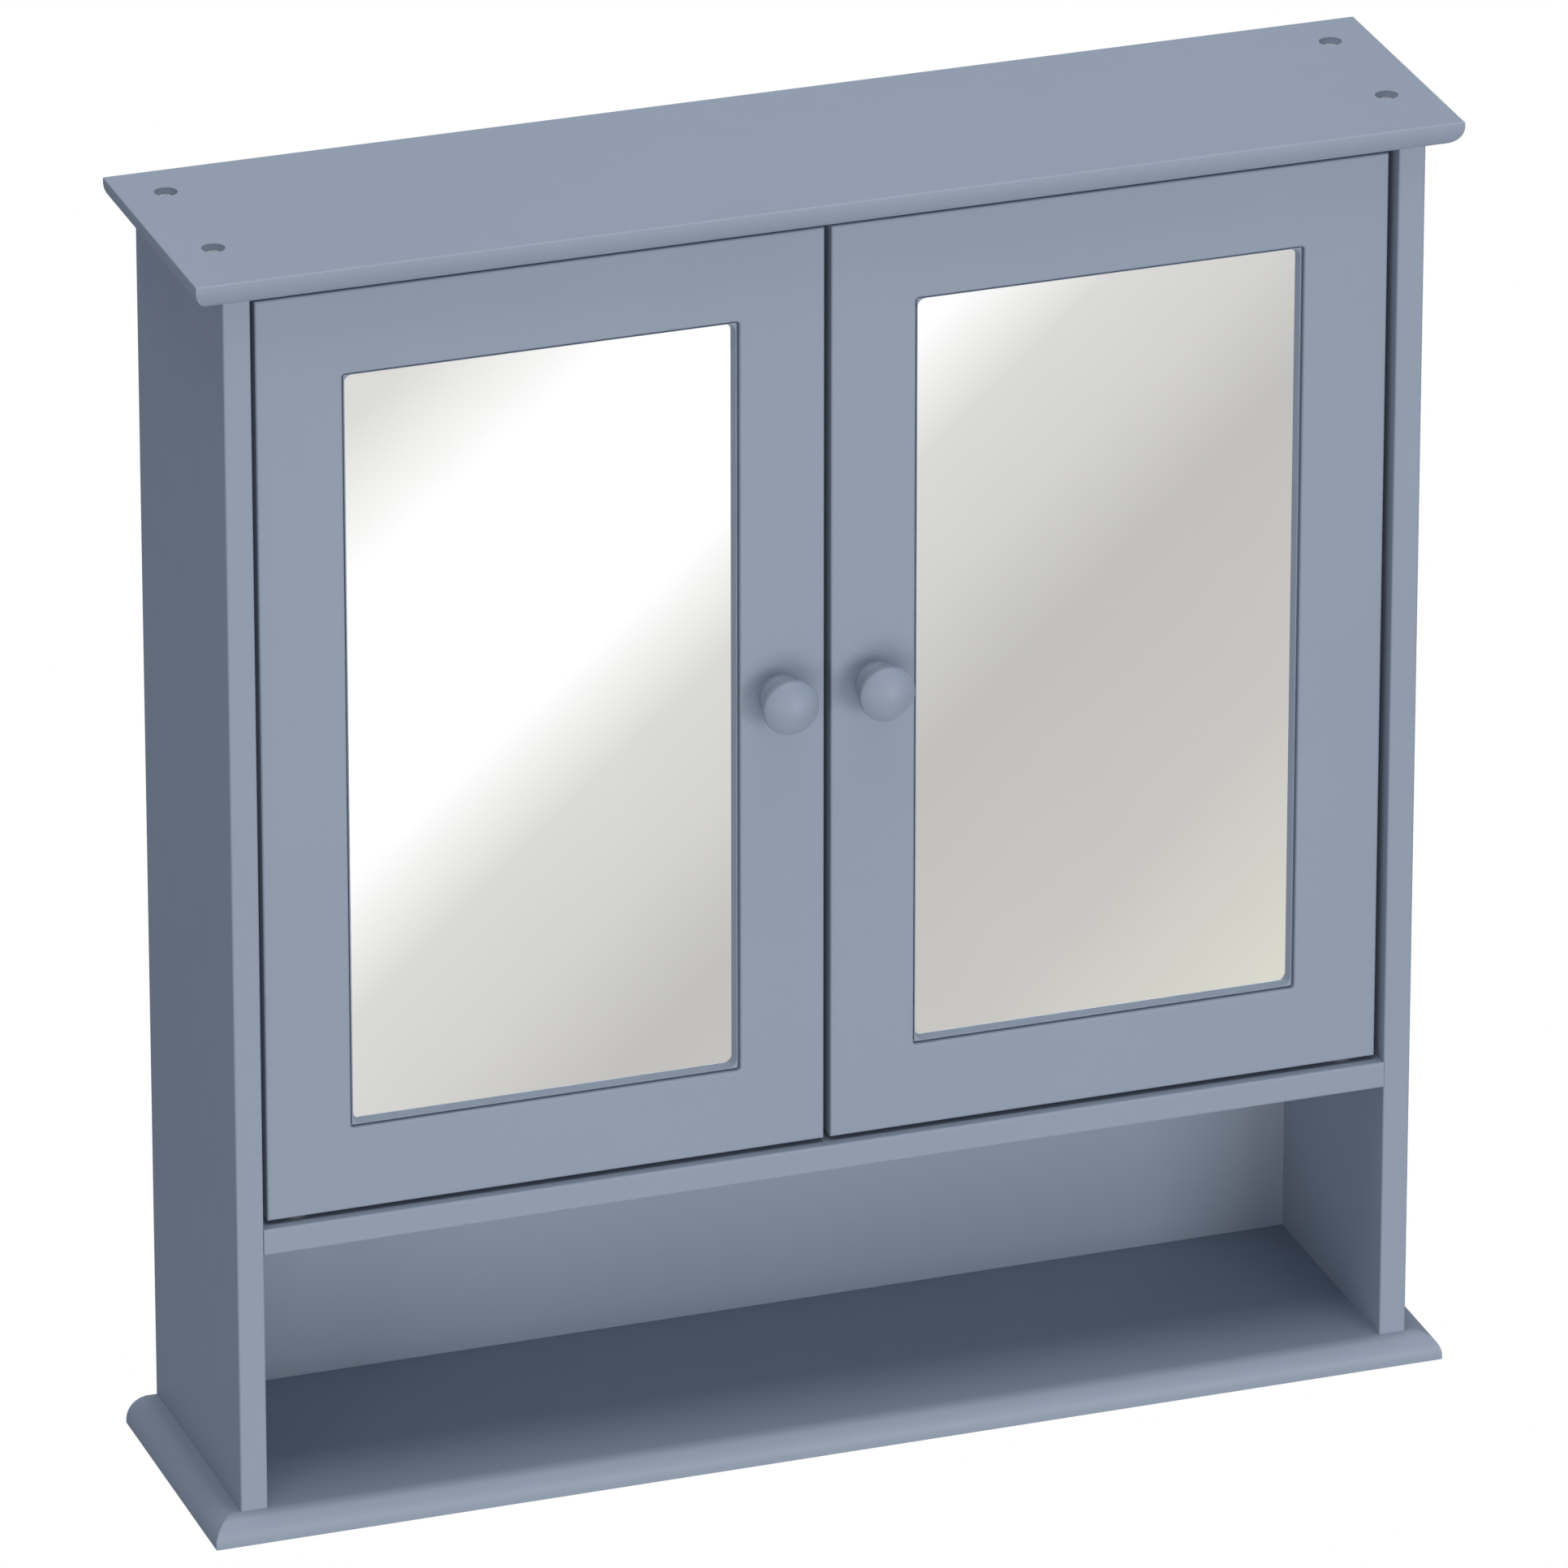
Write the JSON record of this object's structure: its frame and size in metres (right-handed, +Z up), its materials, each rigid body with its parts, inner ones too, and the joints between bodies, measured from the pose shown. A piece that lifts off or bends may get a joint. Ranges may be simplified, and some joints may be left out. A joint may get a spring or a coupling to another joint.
{
  "type": "hanging wall cabinet",
  "caption": "Shallow painted wall cabinet: mirrored pivot doors with round knobs over an open shelf, moulded top and bottom boards.",
  "frame": {"origin": "on the wall plane, halfway between the two wall-screw holes", "axes": "+X to the viewer's right, +Y into the wall, +Z up"},
  "size_m": [0.56, 0.138, 0.58],
  "materials": {
    "painted_board": "satin paint over fibreboard",
    "mirror_glass": "silvered",
    "mirror_backing": "hardboard",
    "strip_wood": "bare softwood",
    "dowel_wood": "bare beech",
    "zinc_steel": "zinc plated",
    "pivot_steel": "ground",
    "insert_brass": "turned",
    "nylon": "moulded, dark grey",
    "catch_plastic": "moulded",
    "magnet": "ferrite, ground"
  },
  "bodies": {
    "carcass": {"top_board": "painted_board", "bottom_board": "painted_board", "left_side_panel": "painted_board", "right_side_panel": "painted_board", "fixed_shelf": "painted_board", "adjustable_shelf": "painted_board", "back_panel": "painted_board", "hanging_rail": "painted_board", "rail_dowels": "dowel_wood", "shelf_support_pins": "zinc_steel", "cam_locks": "zinc_steel", "cam_bolts": "zinc_steel", "back_panel_nails": "zinc_steel", "top_board_screws": "zinc_steel", "bottom_board_screws": "zinc_steel", "catch_housing": "catch_plastic", "catch_magnets": "magnet", "catch_screws": "zinc_steel", "upper_pivot_bushes": "nylon", "lower_pivot_bushes": "nylon"},
    "left_door": {"left_door_frame": "painted_board", "left_mirror": "mirror_glass", "left_mirror_backing": "mirror_backing", "left_retaining_strips": "strip_wood", "left_knob": "painted_board", "left_knob_insert": "insert_brass", "left_knob_screw": "zinc_steel", "left_pivot_pins": "pivot_steel", "left_strike_plate": "zinc_steel", "left_strike_screw": "zinc_steel"},
    "right_door": {"right_door_frame": "painted_board", "right_mirror": "mirror_glass", "right_mirror_backing": "mirror_backing", "right_retaining_strips": "strip_wood", "right_knob": "painted_board", "right_knob_insert": "insert_brass", "right_knob_screw": "zinc_steel", "right_pivot_pins": "pivot_steel", "right_strike_plate": "zinc_steel", "right_strike_screw": "zinc_steel"}
  },
  "joints": [
    {"name": "left_door_hinge", "type": "hinge", "parent": "carcass", "child": "left_door", "pos_m": [-0.237, -0.1095, -0.183], "axis": [0, 0, -1], "range_deg": [0, 110]},
    {"name": "right_door_hinge", "type": "hinge", "parent": "carcass", "child": "right_door", "pos_m": [0.237, -0.1095, -0.183], "axis": [0, 0, 1], "range_deg": [0, 110]}
  ]
}
